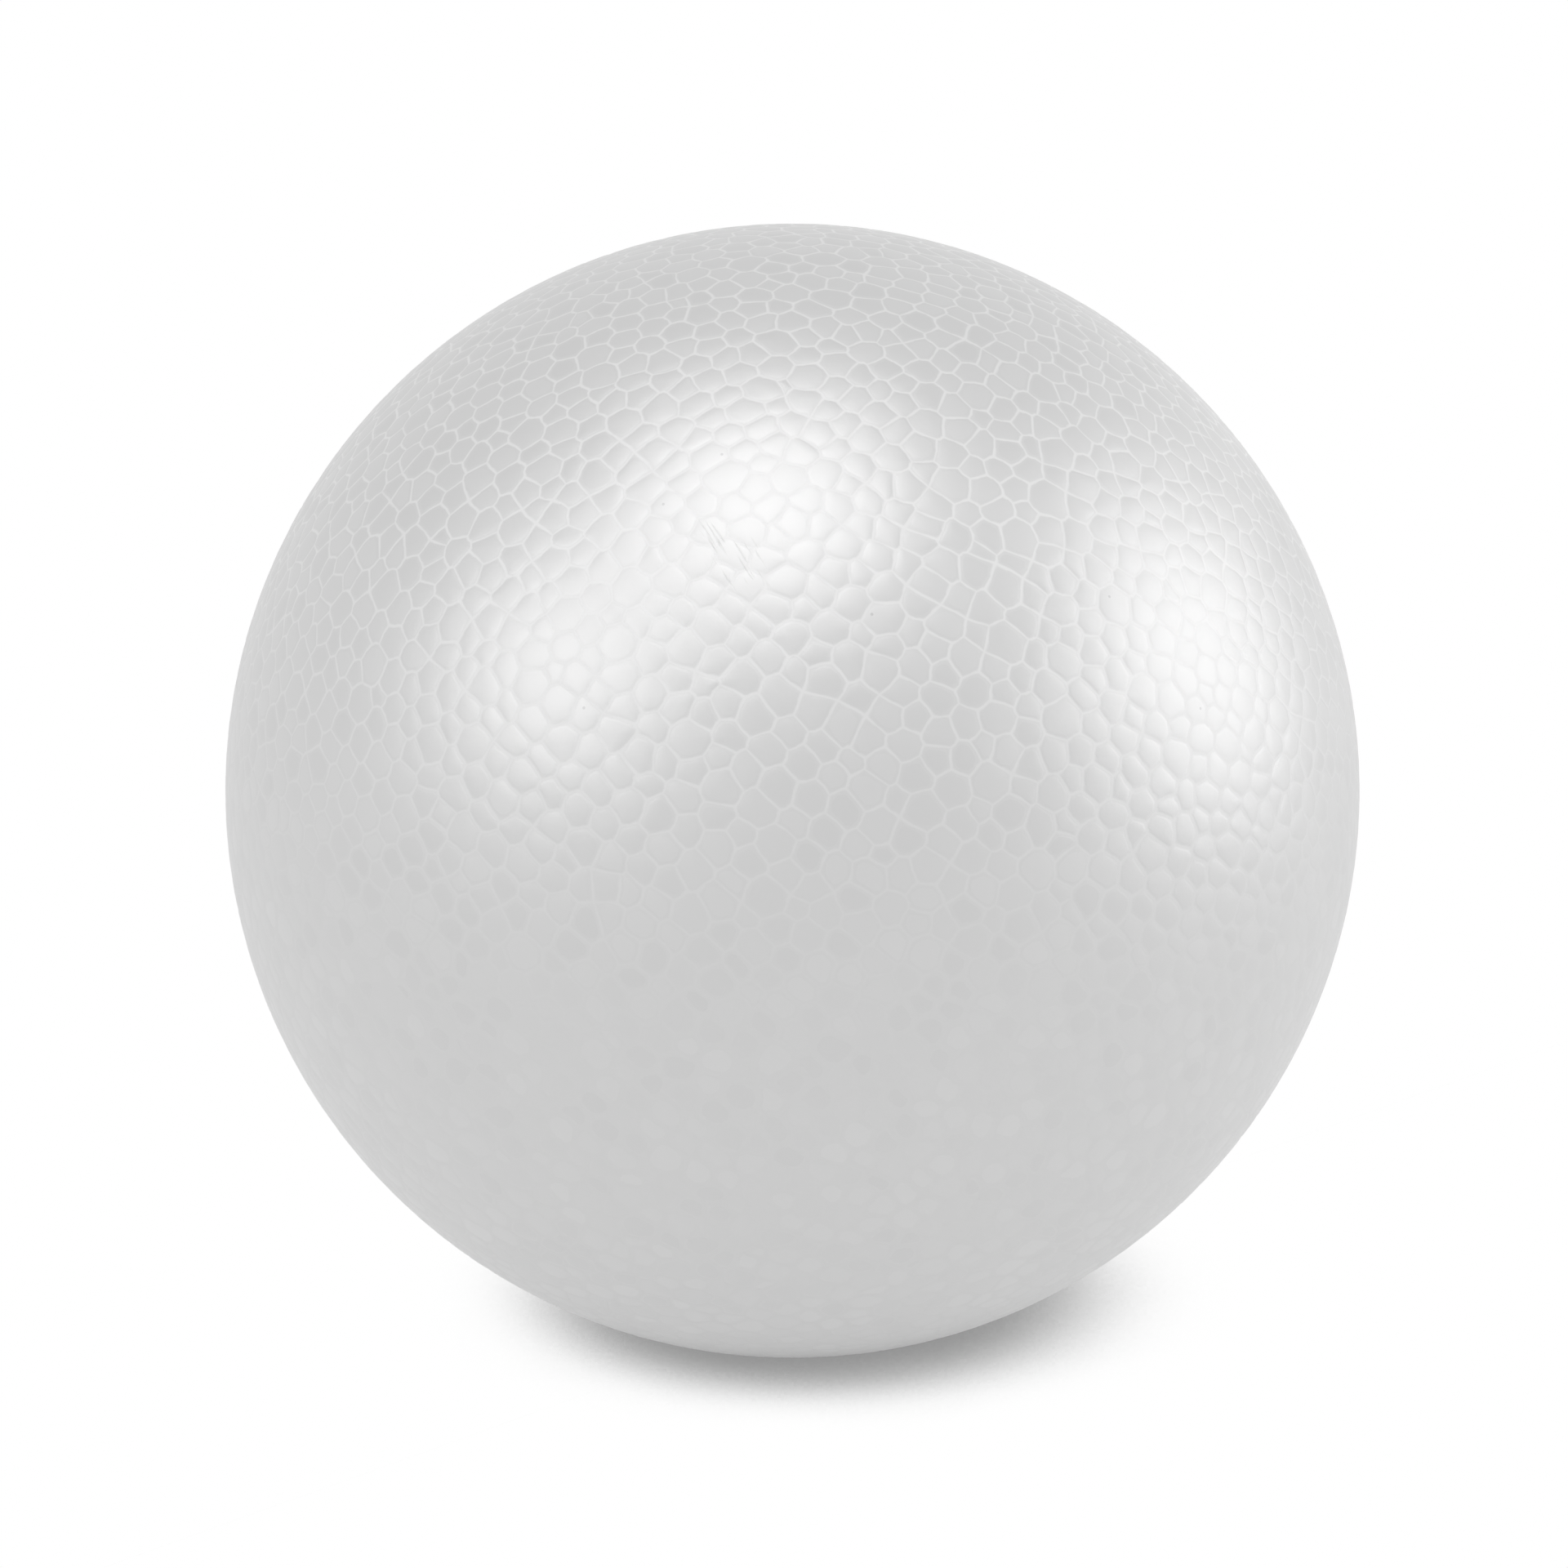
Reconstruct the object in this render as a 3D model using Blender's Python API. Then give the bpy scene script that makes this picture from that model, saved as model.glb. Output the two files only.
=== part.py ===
"""Craft ball moulded in one piece from expanded polystyrene beads.

The ball is solid foam. Its skin is where the beads swelled against the mould: each bead ends in a low
cushion, its crown touching the ball's full diameter, and neighbours meet in a sunken seam. Seams meet
three at a time in a small pit.

Metres, +Z up, the origin at the ball's centre.
"""

import math
import random

import bmesh
import bpy
from mathutils import Vector

# Driving sizes
BALL_DIAMETER = 0.07112  # 2.8 in, over the bead crowns
BEAD_PITCH = 0.0031  # mean distance between the crowns of neighbouring beads
BEAD_SCATTER = 0.0011  # how far a crown lies at most from an even layout
SEAM_DEPTH = 0.00018  # pits at the bead corners, below the ball's full diameter
SEAM_DEPTH_SPREAD = 0.00003  # how much deeper or shallower one pit is than the next
SHORTEST_SEAM = 0.0003  # two pits closer than this have run into one

# Layout of the beads
LAYOUT_SEED = 28
SETTLING_ROUNDS = 2  # each round evens out the tightest and the widest gaps between crowns
SETTLING_SHARE = 0.35  # of the way to the middle of its neighbours that a crown moves in a round

# Finish of moulded foam: bright white with a satin skin
FOAM_COLOUR = (0.80, 0.80, 0.80, 1.0)
FOAM_ROUGHNESS = 0.45


def clear_scene():
    for obj in list(bpy.data.objects):
        bpy.data.objects.remove(obj)


def bead_count():
    """Beads that cover the ball when each takes a hexagon as wide as the pitch."""
    ball_area = math.pi * BALL_DIAMETER**2
    bead_area = math.sqrt(3) / 2 * BEAD_PITCH**2
    return round(ball_area / bead_area)


def even_direction(index, count):
    """Direction of one crown in an even spiral of them from pole to pole."""
    height = 1 - (2 * index + 1) / count
    ring = math.sqrt(1 - height**2)
    turn = index * math.pi * (3 - math.sqrt(5))
    return Vector((ring * math.cos(turn), ring * math.sin(turn), height))


def scattered_crowns(chance):
    """Crown positions on the ball: the even spiral, each point pushed a random way along the surface."""
    radius = BALL_DIAMETER / 2
    crowns = []
    count = bead_count()
    for index in range(count):
        outward = even_direction(index, count)
        sideways = outward.orthogonal().normalized()
        forwards = outward.cross(sideways)
        heading = chance.uniform(0, 2 * math.pi)
        push = BEAD_SCATTER * math.sqrt(chance.random())
        moved = radius * outward + push * (math.cos(heading) * sideways + math.sin(heading) * forwards)
        crowns.append(radius * moved.normalized())
    return crowns


def net_between(crowns):
    """A triangle net that joins each crown to its neighbours: the convex hull of points on a ball."""
    net = bmesh.new()
    for crown in crowns:
        net.verts.new(crown)
    bmesh.ops.convex_hull(net, input=net.verts, use_existing_faces=False)
    return net


def settled(crowns):
    """The crowns after each has moved part of the way to the middle of its neighbours."""
    net = net_between(crowns)
    bmesh.ops.smooth_vert(
        net, verts=net.verts, factor=SETTLING_SHARE, use_axis_x=True, use_axis_y=True, use_axis_z=True
    )
    moved = [BALL_DIAMETER / 2 * crown.co.normalized() for crown in net.verts]
    net.free()
    return moved


def pit_places(net, pits, chance):
    """Where each pit belongs: equally far from the three crowns around it, and below the skin.

    A pit starts in the middle of a flat triangle, so its normal is the triangle's, which for three
    points on a ball runs from the centre to the spot that is equally far from them.
    """
    net.normal_update()
    depths = [SEAM_DEPTH + chance.uniform(-SEAM_DEPTH_SPREAD, SEAM_DEPTH_SPREAD) for _ in pits]
    return [(BALL_DIAMETER / 2 - depth) * pit.normal for pit, depth in zip(pits, depths)]


def beaded_skin():
    """The ball's closed skin: a fan of faces from each crown to the seam around it."""
    chance = random.Random(LAYOUT_SEED)
    crowns = scattered_crowns(chance)
    for _ in range(SETTLING_ROUNDS):
        crowns = settled(crowns)

    skin = net_between(crowns)
    crown_to_crown = list(skin.edges)
    poked = bmesh.ops.poke(skin, faces=skin.faces[:], offset=0, center_mode="MEAN")
    pits = poked["verts"]
    places = pit_places(skin, pits, chance)

    # Turned in its quad, an edge between two crowns becomes the seam between their beads.
    seams = bmesh.ops.rotate_edges(skin, edges=crown_to_crown, use_ccw=False)["edges"]
    for pit, place in zip(pits, places):
        pit.co = place
    for seam in seams:
        seam.smooth = False
    for face in skin.faces:
        face.smooth = True

    bmesh.ops.remove_doubles(skin, verts=skin.verts[:], dist=SHORTEST_SEAM)
    bmesh.ops.recalc_face_normals(skin, faces=skin.faces[:])
    return skin


def foam_material():
    material = bpy.data.materials.new("polystyrene_foam")
    material.use_nodes = True
    shader = material.node_tree.nodes["Principled BSDF"]
    shader.inputs["Base Color"].default_value = FOAM_COLOUR
    shader.inputs["Roughness"].default_value = FOAM_ROUGHNESS
    shader.inputs["Metallic"].default_value = 0.0
    material.diffuse_color = FOAM_COLOUR
    material.roughness = FOAM_ROUGHNESS
    return material


def foam_ball():
    skin = beaded_skin()
    mesh = bpy.data.meshes.new("foam_ball")
    skin.to_mesh(mesh)
    skin.free()
    mesh.materials.append(foam_material())
    ball = bpy.data.objects.new("foam_ball", mesh)
    bpy.context.scene.collection.objects.link(ball)
    return ball


clear_scene()
foam_ball()
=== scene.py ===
# Moulded polystyrene ball: bead skin, studio and camera. Metres, +Z up, the ball's centre at the origin.

import math
import random

import bmesh
import bpy
from mathutils import Matrix, Vector


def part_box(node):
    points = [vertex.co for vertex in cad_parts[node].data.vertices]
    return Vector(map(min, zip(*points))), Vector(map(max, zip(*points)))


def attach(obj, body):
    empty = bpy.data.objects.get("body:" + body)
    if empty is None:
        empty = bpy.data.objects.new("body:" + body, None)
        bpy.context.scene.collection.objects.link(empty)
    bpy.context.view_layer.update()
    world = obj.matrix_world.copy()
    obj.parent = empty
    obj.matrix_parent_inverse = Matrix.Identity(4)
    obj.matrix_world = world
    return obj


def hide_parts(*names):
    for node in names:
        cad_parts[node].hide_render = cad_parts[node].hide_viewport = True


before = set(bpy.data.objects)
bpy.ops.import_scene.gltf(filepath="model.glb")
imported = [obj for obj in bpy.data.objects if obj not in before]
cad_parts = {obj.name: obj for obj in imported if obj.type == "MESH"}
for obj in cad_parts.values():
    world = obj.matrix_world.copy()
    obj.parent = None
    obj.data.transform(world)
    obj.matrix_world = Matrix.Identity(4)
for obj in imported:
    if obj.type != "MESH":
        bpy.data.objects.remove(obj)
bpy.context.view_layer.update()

ballLow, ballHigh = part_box("foam_ball")
ballCentre = (ballLow + ballHigh) / 2
ballRadius = max(ballHigh - ballLow) / 2
mm = 0.001
print("frame loaded, ball radius", round(ballRadius / mm, 3), "mm")


# Bead skin

beadSkin = {
    "beads": 5600,
    "scatter": 0.60 * mm,  # how far a bead sits at most from an even layout
    "settlingRounds": 2,
    "settlingShare": 0.35,  # of the way to the middle of its neighbours in each round
    "sizeSpread": 0.004 * mm,  # a bead that swelled this much higher takes room from its neighbours
    "shortestSeam": 0.32 * mm,
    "seamWander": 0.08 * mm,  # how far the middle of a seam bows at most to one side
    "grooveWidth": 0.22 * mm,  # from the seam to the bead's shoulder
    "leastTop": 1 / 3,  # least share of a small bead's width that its top keeps
    "cornerRounding": 0.5,  # share of the way that a spot of the shoulder moves to between its neighbours
    "crownDrop": (0.000 * mm, 0.005 * mm),  # below the full ball, as are the next three
    "shoulderDrop": 0.008 * mm,
    "seamDepth": 0.020 * mm,  # halfway along a seam
    "cornerDepth": 0.031 * mm,  # where three beads meet
    "depthSpread": 0.30,  # share by which one spot of a seam is at most deeper or shallower
    "tilt": 0.010,  # most slope of one bead's top along each axis
    "paleAndGlintCorners": (0.96, 1.08),  # how pale and wide a seam is where three beads meet; the paleness is partly the seam's own matte colour, partly painted glint
    "paleAndGlintMiddles": (0.72, 0.94),  # and halfway along it
    "seed": 71,
}


def spiralOfCrowns(net, count):
    # an even helix on a cylinder becomes an even spiral once each turn is drawn in to the ball
    rise = 2 * ballRadius / count
    goldenTurn = math.pi * (3 - math.sqrt(5))
    first = net.verts.new((ballRadius, 0, ballRadius - rise / 2))
    bmesh.ops.spin(net, geom=[first], cent=(0, 0, 0), axis=(0, 0, 1), dvec=(0, 0, -rise),
                   angle=goldenTurn * (count - 1), steps=count - 1, use_merge=False,
                   use_normal_flip=False, use_duplicate=True)
    for crown in net.verts:
        drawIn = math.sqrt(max(0, 1 - (crown.co.z / ballRadius) ** 2))
        crown.co.x *= drawIn
        crown.co.y *= drawIn


def scatterCrowns(net, reach, chance):
    for crown in net.verts:
        outward = crown.co.normalized()
        sideways = outward.orthogonal().normalized()
        forwards = outward.cross(sideways)
        heading = chance.uniform(0, 2 * math.pi)
        push = reach * math.sqrt(chance.random())
        moved = crown.co + push * (math.cos(heading) * sideways + math.sin(heading) * forwards)
        crown.co = ballRadius * moved.normalized()


def renewNet(net):
    # the convex hull of points on a ball joins each crown to its neighbours
    bmesh.ops.delete(net, geom=net.edges[:], context="EDGES_FACES")
    bmesh.ops.convex_hull(net, input=net.verts[:], use_existing_faces=False)
    crowded = [v for v in net.verts if not v.link_faces]
    bmesh.ops.delete(net, geom=crowded, context="VERTS")


def beadNet(look, chance):
    net = bmesh.new()
    spiralOfCrowns(net, look["beads"])
    scatterCrowns(net, look["scatter"], chance)
    for _ in range(look["settlingRounds"]):
        renewNet(net)
        bmesh.ops.smooth_vert(net, verts=net.verts[:], factor=look["settlingShare"],
                              use_axis_x=True, use_axis_y=True, use_axis_z=True)
        for crown in net.verts:
            crown.co = ballRadius * crown.co.normalized()
    for crown in net.verts:
        crown.co *= 1 + chance.gauss(0, look["sizeSpread"]) / ballRadius
    renewNet(net)
    return net


def turnIntoBeads(net, look):
    # each net triangle becomes a corner where three beads meet, each net edge the seam between two beads
    crownToCrown = net.edges[:]
    crowns = net.verts[:]
    corners = bmesh.ops.poke(net, faces=net.faces[:], offset=0, center_mode="MEAN")["verts"]
    net.normal_update()
    places = [ballRadius * corner.normal for corner in corners]
    bmesh.ops.rotate_edges(net, edges=crownToCrown, use_ccw=False)
    for corner, place in zip(corners, places):
        corner.co = place
    bmesh.ops.dissolve_verts(net, verts=crowns, use_face_split=False, use_boundary_tear=False)
    bmesh.ops.remove_doubles(net, verts=net.verts[:], dist=look["shortestSeam"])

    # the hull rounds places a little, so a short seam can come out back to front, and it shrinks to a point
    net.normal_update()
    backwards = [loop.edge for bead in net.faces for loop in bead.loops if runsBackwards(loop)]
    bmesh.ops.collapse(net, edges=list(dict.fromkeys(backwards)))


def runsBackwards(loop):
    along = loop.link_loop_next.vert.co - loop.vert.co
    inward = loop.face.calc_center_median() - loop.vert.co
    return along.cross(inward).dot(loop.face.normal) < 0


def bowSeams(net, reach, chance):
    made = bmesh.ops.subdivide_edges(net, edges=net.edges[:], cuts=1, use_grid_fill=False)
    middles = [g for g in made["geom_inner"] if isinstance(g, bmesh.types.BMVert)]
    for middle in middles:
        ends = [edge.other_vert(middle).co for edge in middle.link_edges]
        sideways = (ends[0] - ends[1]).cross(middle.co).normalized()
        middle.co += chance.uniform(-reach, reach) * sideways
    return set(middles)


def beadSurface(look):
    chance = random.Random(look["seed"])
    skin = beadNet(look, chance)
    print("bead net:", len(skin.verts), "beads")
    turnIntoBeads(skin, look)
    print("beads:", len(skin.faces), "seams:", len(skin.edges))
    middles = bowSeams(skin, look["seamWander"], chance)

    # the material reads these: seam is 0 on a bead's crown, 0.5 on its shoulder and 1 where it meets the next
    seamLayer = skin.verts.layers.float.new("seam")
    paleAndGlintLayer = skin.verts.layers.float.new("pale")
    toneLayer = skin.faces.layers.float.new("tone")

    # sunk seams
    for vert in skin.verts:
        depth = look["seamDepth"] if vert in middles else look["cornerDepth"]
        depth *= 1 + chance.uniform(-1, 1) * look["depthSpread"]
        vert.co = (ballRadius - depth) * vert.co.normalized()
        vert[seamLayer] = 1.0
        # how pale each spot of a seam is painted: partly its own matte colour, partly painted glint
        vert[paleAndGlintLayer] = chance.uniform(*look["paleAndGlintMiddles" if vert in middles else "paleAndGlintCorners"])
    skin.normal_update()

    # the inset gives each bead a shoulder, roundBead puts it in its place, and the poke makes the crown
    tops = skin.faces[:]
    bmesh.ops.inset_individual(skin, faces=tops, thickness=look["grooveWidth"] / 2, depth=0,
                               use_even_offset=False, use_interpolate=False, use_relative_offset=False)
    for top in tops:
        roundBead(top, look, chance, seamLayer, paleAndGlintLayer)
    crowns = bmesh.ops.poke(skin, faces=tops, offset=0, center_mode="MEAN")["verts"]
    for crown in crowns:
        crown.co = (ballRadius - chance.uniform(*look["crownDrop"])) * crown.co.normalized()
        crown[seamLayer] = 0.0
        tone = chance.uniform(-1, 1)
        for face in crown.link_faces:
            face[toneLayer] = tone
    bmesh.ops.recalc_face_normals(skin, faces=skin.faces[:])
    for face in skin.faces:
        face.smooth = True
    return skin


def roundBead(top, look, chance, seamLayer, paleAndGlintLayer):
    ring = top.verts[:]
    rims = [outerVert(shoulder, top) for shoulder in ring]
    middle = sum((rim.co for rim in rims), Vector()) / len(rims)
    outward = middle.normalized()
    middle = (ballRadius - look["shoulderDrop"]) * outward
    spokes = []
    for rim in rims:
        spoke = rim.co - middle
        spoke -= spoke.dot(outward) * outward
        reach = max(spoke.length - look["grooveWidth"], spoke.length * look["leastTop"])
        spokes.append(reach * spoke.normalized())
    lean = Vector((chance.uniform(-1, 1), chance.uniform(-1, 1), chance.uniform(-1, 1))) * look["tilt"]
    for i, (shoulder, rim) in enumerate(zip(ring, rims)):
        between = (spokes[i - 1] + spokes[(i + 1) % len(spokes)]) / 2
        rounded = spokes[i].lerp(between, look["cornerRounding"])
        spoke = rounded if rounded.length < spokes[i].length else spokes[i]
        drop = look["shoulderDrop"] - lean.dot(spoke)
        shoulder.co = (ballRadius - drop) * (middle + spoke).normalized()
        shoulder[seamLayer] = 0.5
        shoulder[paleAndGlintLayer] = rim[paleAndGlintLayer]


def outerVert(shoulder, top):
    # the spot of the seam that a spot of the shoulder was inset from
    for edge in shoulder.link_edges:
        if top not in edge.link_faces:
            return edge.other_vert(shoulder)


def addToScene(name, data):
    thing = bpy.data.objects.new(name, data)
    bpy.context.scene.collection.objects.link(thing)
    return thing


def newObject(name, skin, material):
    mesh = bpy.data.meshes.new(name)
    skin.to_mesh(mesh)
    skin.free()
    mesh.materials.append(material)
    return addToScene(name, mesh)


# Materials

foamFinish = {
    "bead": (0.74, 0.74, 0.74, 1),
    # the seam colour is partly the seams' own paler matte colour and partly painted glint of the lamps above
    "seam": (0.87, 0.87, 0.87, 1),
    "paintedGlintFrom": -0.20,  # heights, in ball radii, between which the seams turn pale; this fade is painted glint of the lamps above
    "paintedGlintTo": 0.75,
    "paleAndGlintBand": (0.75, 1.0),  # values of seam between which its pale line sets in, partly paler matte seam, partly painted glint
    "toneSpread": 0.025,  # share by which one bead is at most lighter or darker
    "beadRoughness": 0.45,
    "seamRoughness": 0.56,
    "roughBand": (0.66, 1.0),  # values of seam between which the skin turns rougher
    "ior": 1.55,
    "edgeDrop": 0.005 * mm,  # how far the last of a bead's rounded edge falls to its seam
    "edgeBand": (0.46, 0.84),  # values of seam between which it falls
    "grainScale": 3500,
    "grainDetail": 2,
    "grainHeight": 0.003 * mm,
    "scratch": (0.66, 0.66, 0.66, 1),
    "scratchCentre": (-0.099, -0.801, 0.590),  # directions from the ball's centre
    "scratchAlong": (0.505, -0.551, -0.664),
    "scratchPatch": (1.7 * mm, 3.2 * mm, 3.2 * mm),  # half its size across, along and outwards
    "scratchStretch": (9.0, 1.1, 0.0),  # how fine the scratches' noise is across, along and outwards
    "scratchDetail": 1.0,
    "scratchOnset": (0.60, 0.68),  # values of that noise between which a scratch sets in
    "scratchFade": (0.70, 1.0),  # shares of the patch between which its scratches fade out
    "scratchDepth": 0.010 * mm,
    "speck": (0.56, 0.56, 0.56, 1),
    "speckRadius": 0.11 * mm,
    "speckCore": 0.6,  # share of that radius that is fully dark
    "specks": [(-0.326, -0.877, 0.352), (0.505, -0.707, 0.495), (0.656, -0.689, 0.308),
               (0.124, -0.859, 0.498), (-0.204, -0.733, 0.649), (-0.112, -0.684, 0.720)],
}


def rangeNode(tree, source, low, high, lowValue=0.0, highValue=1.0):
    node = tree.nodes.new("ShaderNodeMapRange")
    node.interpolation_type = "SMOOTHSTEP"
    node.inputs["From Min"].default_value = low
    node.inputs["From Max"].default_value = high
    node.inputs["To Min"].default_value = lowValue
    node.inputs["To Max"].default_value = highValue
    tree.links.new(source, node.inputs["Value"])
    return node.outputs["Result"]


def mathNode(tree, operation, first, second):
    node = tree.nodes.new("ShaderNodeMath")
    node.operation = operation
    for source, socket in zip((first, second), node.inputs):
        if isinstance(source, float):
            socket.default_value = source
        else:
            tree.links.new(source, socket)
    return node.outputs[0]


def vectorNode(tree, operation, source, constant=None):
    node = tree.nodes.new("ShaderNodeVectorMath")
    node.operation = operation
    tree.links.new(source, node.inputs[0])
    if constant is not None:
        node.inputs[1].default_value = constant
    return node.outputs["Value" if operation in ("LENGTH", "DISTANCE") else "Vector"]


def noiseNode(tree, place, scale, detail):
    node = tree.nodes.new("ShaderNodeTexNoise")
    node.inputs["Scale"].default_value = scale
    node.inputs["Detail"].default_value = detail
    tree.links.new(place, node.inputs["Vector"])
    return node.outputs[0]


def mixNode(tree, amount, under, over):
    # a colour mix takes its two colours on sockets 6 and 7 and gives the result on 2
    node = tree.nodes.new("ShaderNodeMix")
    node.data_type = "RGBA"
    tree.links.new(amount, node.inputs[0])
    tree.links.new(under, node.inputs[6])
    node.inputs[7].default_value = over
    return node.outputs[2]


def attributeNode(tree, name):
    node = tree.nodes.new("ShaderNodeAttribute")
    node.attribute_name = name
    return node.outputs["Fac"]


def scratchMask(tree, place, look):
    # a few fine scratches side by side: stretched noise inside a soft-edged patch
    outward = Vector(look["scratchCentre"]).normalized()
    along = Vector(look["scratchAlong"]).normalized()
    across = along.cross(outward).normalized()
    patch = tree.nodes.new("ShaderNodeMapping")
    patch.vector_type = "TEXTURE"
    patch.inputs["Location"].default_value = ballRadius * outward
    patch.inputs["Rotation"].default_value = Matrix((across, along, outward)).transposed().to_euler()
    patch.inputs["Scale"].default_value = look["scratchPatch"]
    tree.links.new(place, patch.inputs["Vector"])
    reach = vectorNode(tree, "LENGTH", patch.outputs[0])
    stretched = vectorNode(tree, "MULTIPLY", patch.outputs[0], look["scratchStretch"])
    streaks = noiseNode(tree, stretched, 1.0, look["scratchDetail"])
    lines = rangeNode(tree, streaks, *look["scratchOnset"])
    inside = rangeNode(tree, reach, *look["scratchFade"], 1.0, 0.0)
    return mathNode(tree, "MULTIPLY", lines, inside)


def speckMask(tree, place, look):
    mask = None
    for direction in look["specks"]:
        reach = vectorNode(tree, "DISTANCE", place, ballRadius * Vector(direction).normalized())
        core = look["speckCore"] * look["speckRadius"]
        dot = rangeNode(tree, reach, core, look["speckRadius"], 1.0, 0.0)
        mask = dot if mask is None else mathNode(tree, "MAXIMUM", mask, dot)
    return mask


def bumpNode(tree, height, distance, below=None):
    node = tree.nodes.new("ShaderNodeBump")
    node.inputs["Distance"].default_value = distance
    tree.links.new(height, node.inputs["Height"])
    if below is not None:
        tree.links.new(below, node.inputs["Normal"])
    return node.outputs[0]


def makeFoamMaterial(look):
    material = bpy.data.materials.new("beadFoam")
    material.use_nodes = True
    tree = material.node_tree
    shader = tree.nodes["Principled BSDF"]
    shader.inputs["IOR"].default_value = look["ior"]
    place = tree.nodes.new("ShaderNodeTexCoord").outputs["Object"]
    seam = attributeNode(tree, "seam")
    paleAndGlintSeam = mathNode(tree, "MULTIPLY", seam, attributeNode(tree, "pale"))
    band = rangeNode(tree, paleAndGlintSeam, *look["paleAndGlintBand"])
    scratches = scratchMask(tree, place, look)
    specks = speckMask(tree, place, look)

    # each bead a touch lighter or darker at random; seams painted paler, partly their own matte colour and
    # partly painted glint of the lamps above, which fades out low on the ball
    shade = mathNode(tree, "MULTIPLY", attributeNode(tree, "tone"), look["toneSpread"])
    shade = mathNode(tree, "ADD", shade, 1.0)
    beadColour = tree.nodes.new("ShaderNodeVectorMath")
    beadColour.operation = "SCALE"
    beadColour.inputs[0].default_value = look["bead"][:3]
    tree.links.new(shade, beadColour.inputs["Scale"])
    height = tree.nodes.new("ShaderNodeSeparateXYZ")
    tree.links.new(place, height.inputs[0])
    # painted glint: the seams' paleness fades out with height, as the lamps stand above
    paintedGlintFade = rangeNode(tree, height.outputs["Z"], look["paintedGlintFrom"] * ballRadius, look["paintedGlintTo"] * ballRadius)
    colour = mixNode(tree, mathNode(tree, "MULTIPLY", band, paintedGlintFade), beadColour.outputs[0], look["seam"])
    colour = mixNode(tree, scratches, colour, look["scratch"])
    colour = mixNode(tree, specks, colour, look["speck"])
    tree.links.new(colour, shader.inputs["Base Color"])
    rough = rangeNode(tree, seam, *look["roughBand"], look["beadRoughness"], look["seamRoughness"])
    tree.links.new(rough, shader.inputs["Roughness"])

    # rounded bead edges, fine grain and scratches
    edge = rangeNode(tree, seam, *look["edgeBand"], 1.0, 0.0)
    normal = bumpNode(tree, edge, look["edgeDrop"])
    grain = noiseNode(tree, place, look["grainScale"], look["grainDetail"])
    normal = bumpNode(tree, grain, look["grainHeight"], normal)
    normal = bumpNode(tree, scratches, -look["scratchDepth"], normal)
    tree.links.new(normal, shader.inputs["Normal"])
    return material


# Studio

studio = {
    "photoSide": 1920,  # pixels along each side of the photograph
    "ballRadiusPx": 694.5,
    "ballCentrePx": (970.5, 968.0),
    "elevation": 14.0,  # degrees
    "lens": 100.0,  # millimetres, as is the sensor
    "sensor": 36.0,
    "worldLevel": 0.706,  # brightness of the sky as light; the camera sees it white
    "floorSize": 8.0,  # metres
    "floorColour": (0.80, 0.80, 0.80, 1),
    "floorRoughness": 0.9,
    "floorGlow": 0.265,  # light that the floor gives off beside what it reflects
    "glowSamples": 1,
    "skyReach": 1.0,  # metres within which the ball hides the sky from the floor
    "shadowLean": (-0.12, -0.46, 1.0),  # weighs light from the front and the left, so the shadow leans away
    "shadowOpenness": (0.215, 0.435),  # shares of the sky in sight where the shadow is full and where it ends
    "shadowTone": (0.29, 1.0),
    "shadowSamples": 24,
    "lampDistance": 0.6,  # metres from the ball's centre
}

# where each lamp stands, seen from the ball, its width in metres, its watts and whether it lights only gloss
lamps = {
    "overhead": {"towards": (-0.08, -0.36, 0.93), "width": 0.46, "power": 6.5, "glossOnly": True},
    "leftFront": {"towards": (-0.67, -0.53, 0.51), "width": 0.38, "power": 4.4, "glossOnly": True},
    "right": {"towards": (0.943, 0.001, 0.335), "width": 0.50, "power": 4.1, "glossOnly": True},
    "rightFill": {"towards": (1.0, 0.0, 0.05), "width": 0.60, "power": 0.30, "glossOnly": False},
    "leftFill": {"towards": (-1.0, -0.30, 0.0), "width": 0.60, "power": 0.13, "glossOnly": False},
}


def seenDirectly(tree):
    # 1 for rays from the camera or off gloss, 0 for the soft light that falls on the ball
    path = tree.nodes.new("ShaderNodeLightPath")
    mirrored = mathNode(tree, "MAXIMUM", path.outputs["Is Glossy Ray"], path.outputs["Is Transmission Ray"])
    return mathNode(tree, "MAXIMUM", path.outputs["Is Camera Ray"], mirrored)


def skyNode(tree, samples):
    # how much of the sky a spot of the floor sees past the ball
    node = tree.nodes.new("ShaderNodeAmbientOcclusion")
    node.samples = samples
    node.inputs["Distance"].default_value = studio["skyReach"]
    return node


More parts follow.
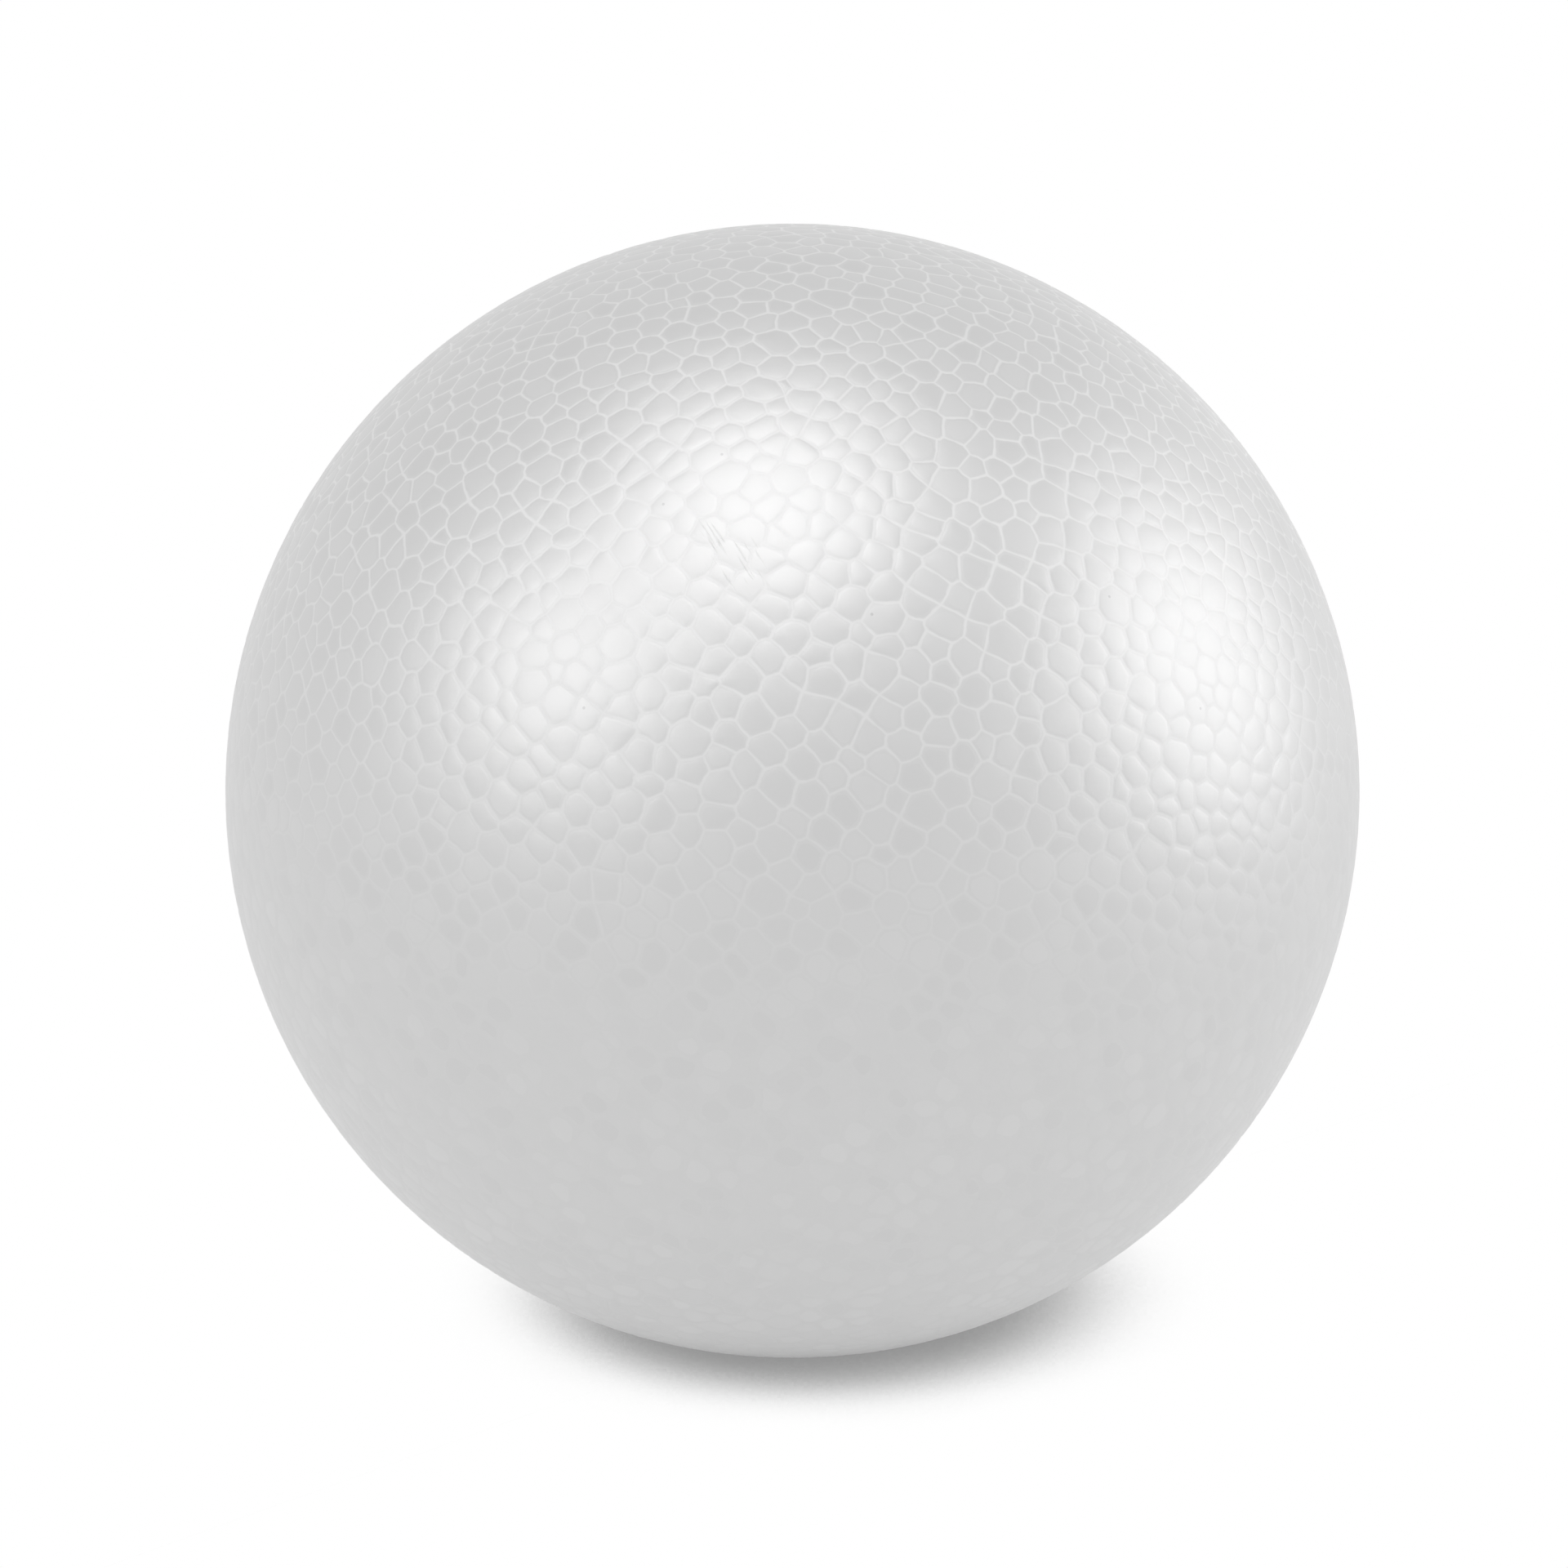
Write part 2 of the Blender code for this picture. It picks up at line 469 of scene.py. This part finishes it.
def makeFloorMaterial():
    material = bpy.data.materials.new("paleFloor")
    material.use_nodes = True
    tree = material.node_tree
    shader = tree.nodes["Principled BSDF"]
    shader.inputs["Base Color"].default_value = studio["floorColour"]
    shader.inputs["Roughness"].default_value = studio["floorRoughness"]
    shader.inputs["Specular IOR Level"].default_value = 0.0
    shader.inputs["Emission Color"].default_value = (1, 1, 1, 1)

    # what the floor throws up to the ball fades where the ball hides the sky from it
    aboveFloor = skyNode(tree, studio["glowSamples"])
    glow = mathNode(tree, "MULTIPLY", aboveFloor.outputs["AO"], studio["floorGlow"])
    tree.links.new(glow, shader.inputs["Emission Strength"])

    # seen by the camera, the floor is white, and darker where the ball hides the sky from it
    lean = tree.nodes.new("ShaderNodeNormal")
    lean.outputs["Normal"].default_value = Vector(studio["shadowLean"]).normalized()
    openness = skyNode(tree, studio["shadowSamples"])
    tree.links.new(lean.outputs["Normal"], openness.inputs["Normal"])
    shadow = rangeNode(tree, openness.outputs["AO"], *studio["shadowOpenness"], *studio["shadowTone"])
    seenFloor = tree.nodes.new("ShaderNodeEmission")
    tree.links.new(shadow, seenFloor.inputs["Strength"])
    choose = tree.nodes.new("ShaderNodeMixShader")
    tree.links.new(seenDirectly(tree), choose.inputs[0])
    tree.links.new(shader.outputs[0], choose.inputs[1])
    tree.links.new(seenFloor.outputs[0], choose.inputs[2])
    tree.links.new(choose.outputs[0], tree.nodes["Material Output"].inputs["Surface"])
    return material


def makeFloor():
    patch = bmesh.new()
    bmesh.ops.create_grid(patch, x_segments=1, y_segments=1, size=studio["floorSize"] / 2)
    bmesh.ops.translate(patch, verts=patch.verts[:], vec=(0, 0, ballLow.z))
    floor = newObject("floor", patch, makeFloorMaterial())


def lightWorld():
    world = bpy.data.worlds.new("studioWorld")
    world.use_nodes = True
    tree = world.node_tree
    background = tree.nodes["Background"]
    background.inputs["Color"].default_value = (1, 1, 1, 1)
    level = rangeNode(tree, seenDirectly(tree), 0.0, 1.0, studio["worldLevel"], 1.0)
    tree.links.new(level, background.inputs["Strength"])
    bpy.context.scene.world = world


def addLamp(name, lamp):
    towards = Vector(lamp["towards"]).normalized()
    light = bpy.data.lights.new(name, "AREA")
    light.shape = "DISK"
    light.size = lamp["width"]
    light.energy = lamp["power"]
    thing = addToScene(name, light)
    thing.location = ballCentre + studio["lampDistance"] * towards
    thing.rotation_euler = towards.to_track_quat("Z", "Y").to_euler()
    thing.visible_camera = False
    thing.visible_diffuse = not lamp["glossOnly"]


def placeCamera():
    focalPx = studio["lens"] / studio["sensor"] * studio["photoSide"]
    distance = ballRadius / math.sin(math.atan(studio["ballRadiusPx"] / focalPx))
    rise = math.radians(studio["elevation"])
    data = bpy.data.cameras.new("photoCamera")
    data.lens = studio["lens"]
    data.sensor_width = studio["sensor"]
    data.shift_x = (studio["photoSide"] / 2 - studio["ballCentrePx"][0]) / studio["photoSide"]
    data.shift_y = (studio["ballCentrePx"][1] - studio["photoSide"] / 2) / studio["photoSide"]
    camera = addToScene("photoCamera", data)
    camera.location = ballCentre + distance * Vector((0, -math.cos(rise), math.sin(rise)))
    camera.rotation_euler = (math.pi / 2 - rise, 0, 0)
    bpy.context.scene.camera = camera


# Build

placeCamera()
makeFloor()
lightWorld()
for name, lamp in lamps.items():
    addLamp(name, lamp)
bpy.context.scene.view_settings.view_transform = "Standard"
print("studio ready")

ball = newObject("beadedBall", beadSurface(beadSkin), makeFoamMaterial(foamFinish))
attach(ball, "root")
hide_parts("foam_ball")
print("ball ready:", len(ball.data.polygons), "faces")
